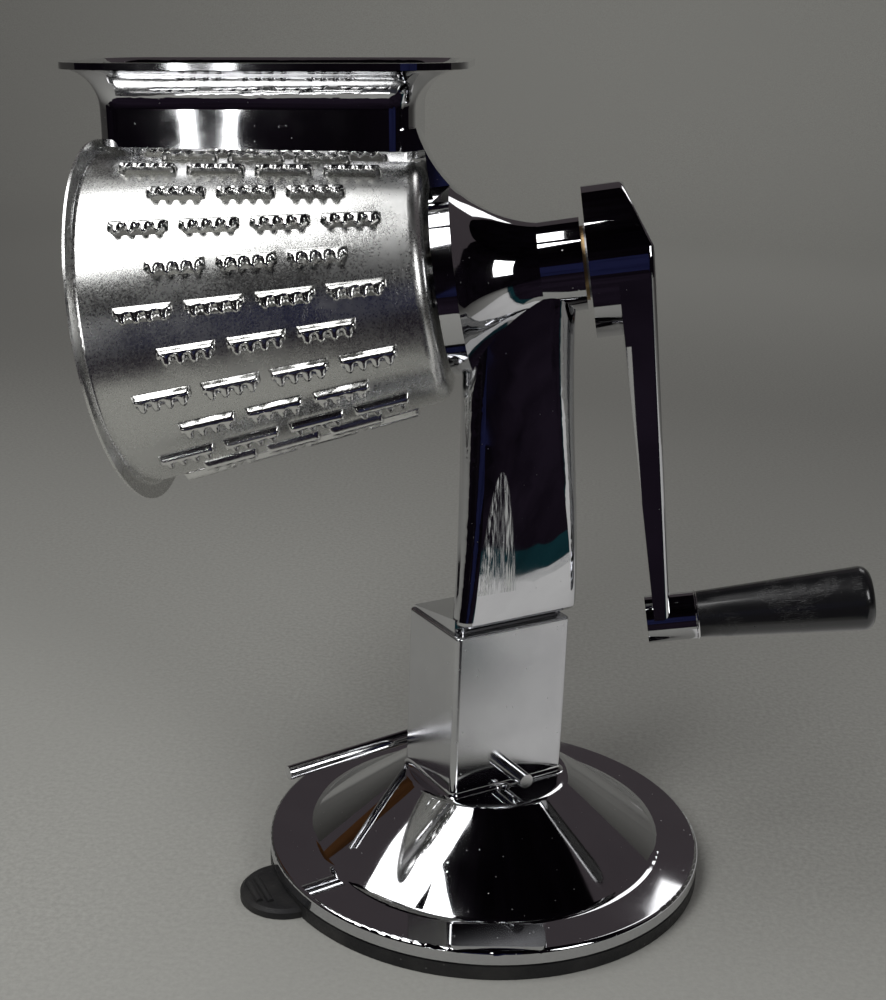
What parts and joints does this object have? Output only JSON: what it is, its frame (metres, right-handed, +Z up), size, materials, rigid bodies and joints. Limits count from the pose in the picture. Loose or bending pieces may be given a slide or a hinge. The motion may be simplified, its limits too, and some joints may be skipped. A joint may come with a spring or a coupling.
{
  "type": "rotary vegetable shredder",
  "caption": "Hand-cranked rotary shredder: chromed body with hopper, toothed cutter cone and crank with black grip, plugged into a post on a suction base with a lever.",
  "frame": {"origin": "centre of the suction cup's underside, on the worktop", "axes": "+Z up; +X level, along the crank shaft's direction seen from above, towards the handle; -Y the side the work is watched from"},
  "size_m": [0.3246, 0.182, 0.3268],
  "materials": {
    "chrome_casting": "polished chrome plate on a casting",
    "bright_rod": "bright plated steel",
    "steel": "plain turned or stamped steel",
    "tinned_sheet": "bright tinned sheet, fine grain",
    "bronze": "sintered bronze",
    "black_rubber": "matt moulded rubber",
    "black_grip": "glossy lacquer with fine scratches"
  },
  "bodies": {
    "base": {"suction_base": "chrome_casting", "suction_cup": "black_rubber"},
    "lever": {"lever_rod": "bright_rod", "lever_cam": "steel", "cam_pin": "steel", "lever_clips": "steel"},
    "stem": {"cup_stem": "steel", "stem_plate": "steel"},
    "machine": {"body_casting": "chrome_casting", "front_bush": "bronze", "rear_bush": "bronze"},
    "rotor": {"drive_shaft": "steel", "thrust_washer": "steel", "spring_plunger": "steel", "crank_arm": "chrome_casting", "crank_screw": "bright_rod", "grip_ferrule": "bright_rod", "grip_spindle": "bright_rod", "grip_washer": "bright_rod"},
    "cone": {"shredder_cone": "tinned_sheet", "cone_hub": "tinned_sheet", "cone_rivets": "steel"},
    "handle": {"grip": "black_grip"}
  },
  "joints": [
    {"name": "lever_swing", "type": "hinge", "parent": "base", "child": "lever", "pos_m": [-0.00093, 0.00148, 0.0478], "axis": [-0.5807, 0.8141, 0], "range_deg": [0, 165]},
    {"name": "stem_lift", "type": "slide", "parent": "base", "child": "stem", "axis": [0, 0, 1], "range_m": [0, 0.0042]},
    {"name": "leg_lift", "type": "slide", "parent": "base", "child": "machine", "axis": [0, 0, 1], "range_m": [0, 0.06]},
    {"name": "crank_turn", "type": "hinge", "parent": "machine", "child": "rotor", "pos_m": [0, 0, 0.2505], "axis": [0.9848, 0, 0.1736], "continuous": true},
    {"name": "cone_off", "type": "slide", "parent": "rotor", "child": "cone", "axis": [-0.9848, 0, -0.1736], "range_m": [0, 0.05]},
    {"name": "grip_spin", "type": "hinge", "parent": "rotor", "child": "handle", "pos_m": [0.11416, 0, 0.12136], "axis": [0.9848, 0, 0.1736], "continuous": true}
  ],
  "couplings": [
    {"joint": "stem_lift", "follows": "lever_swing", "m_per_rad": 0.001432}
  ]
}
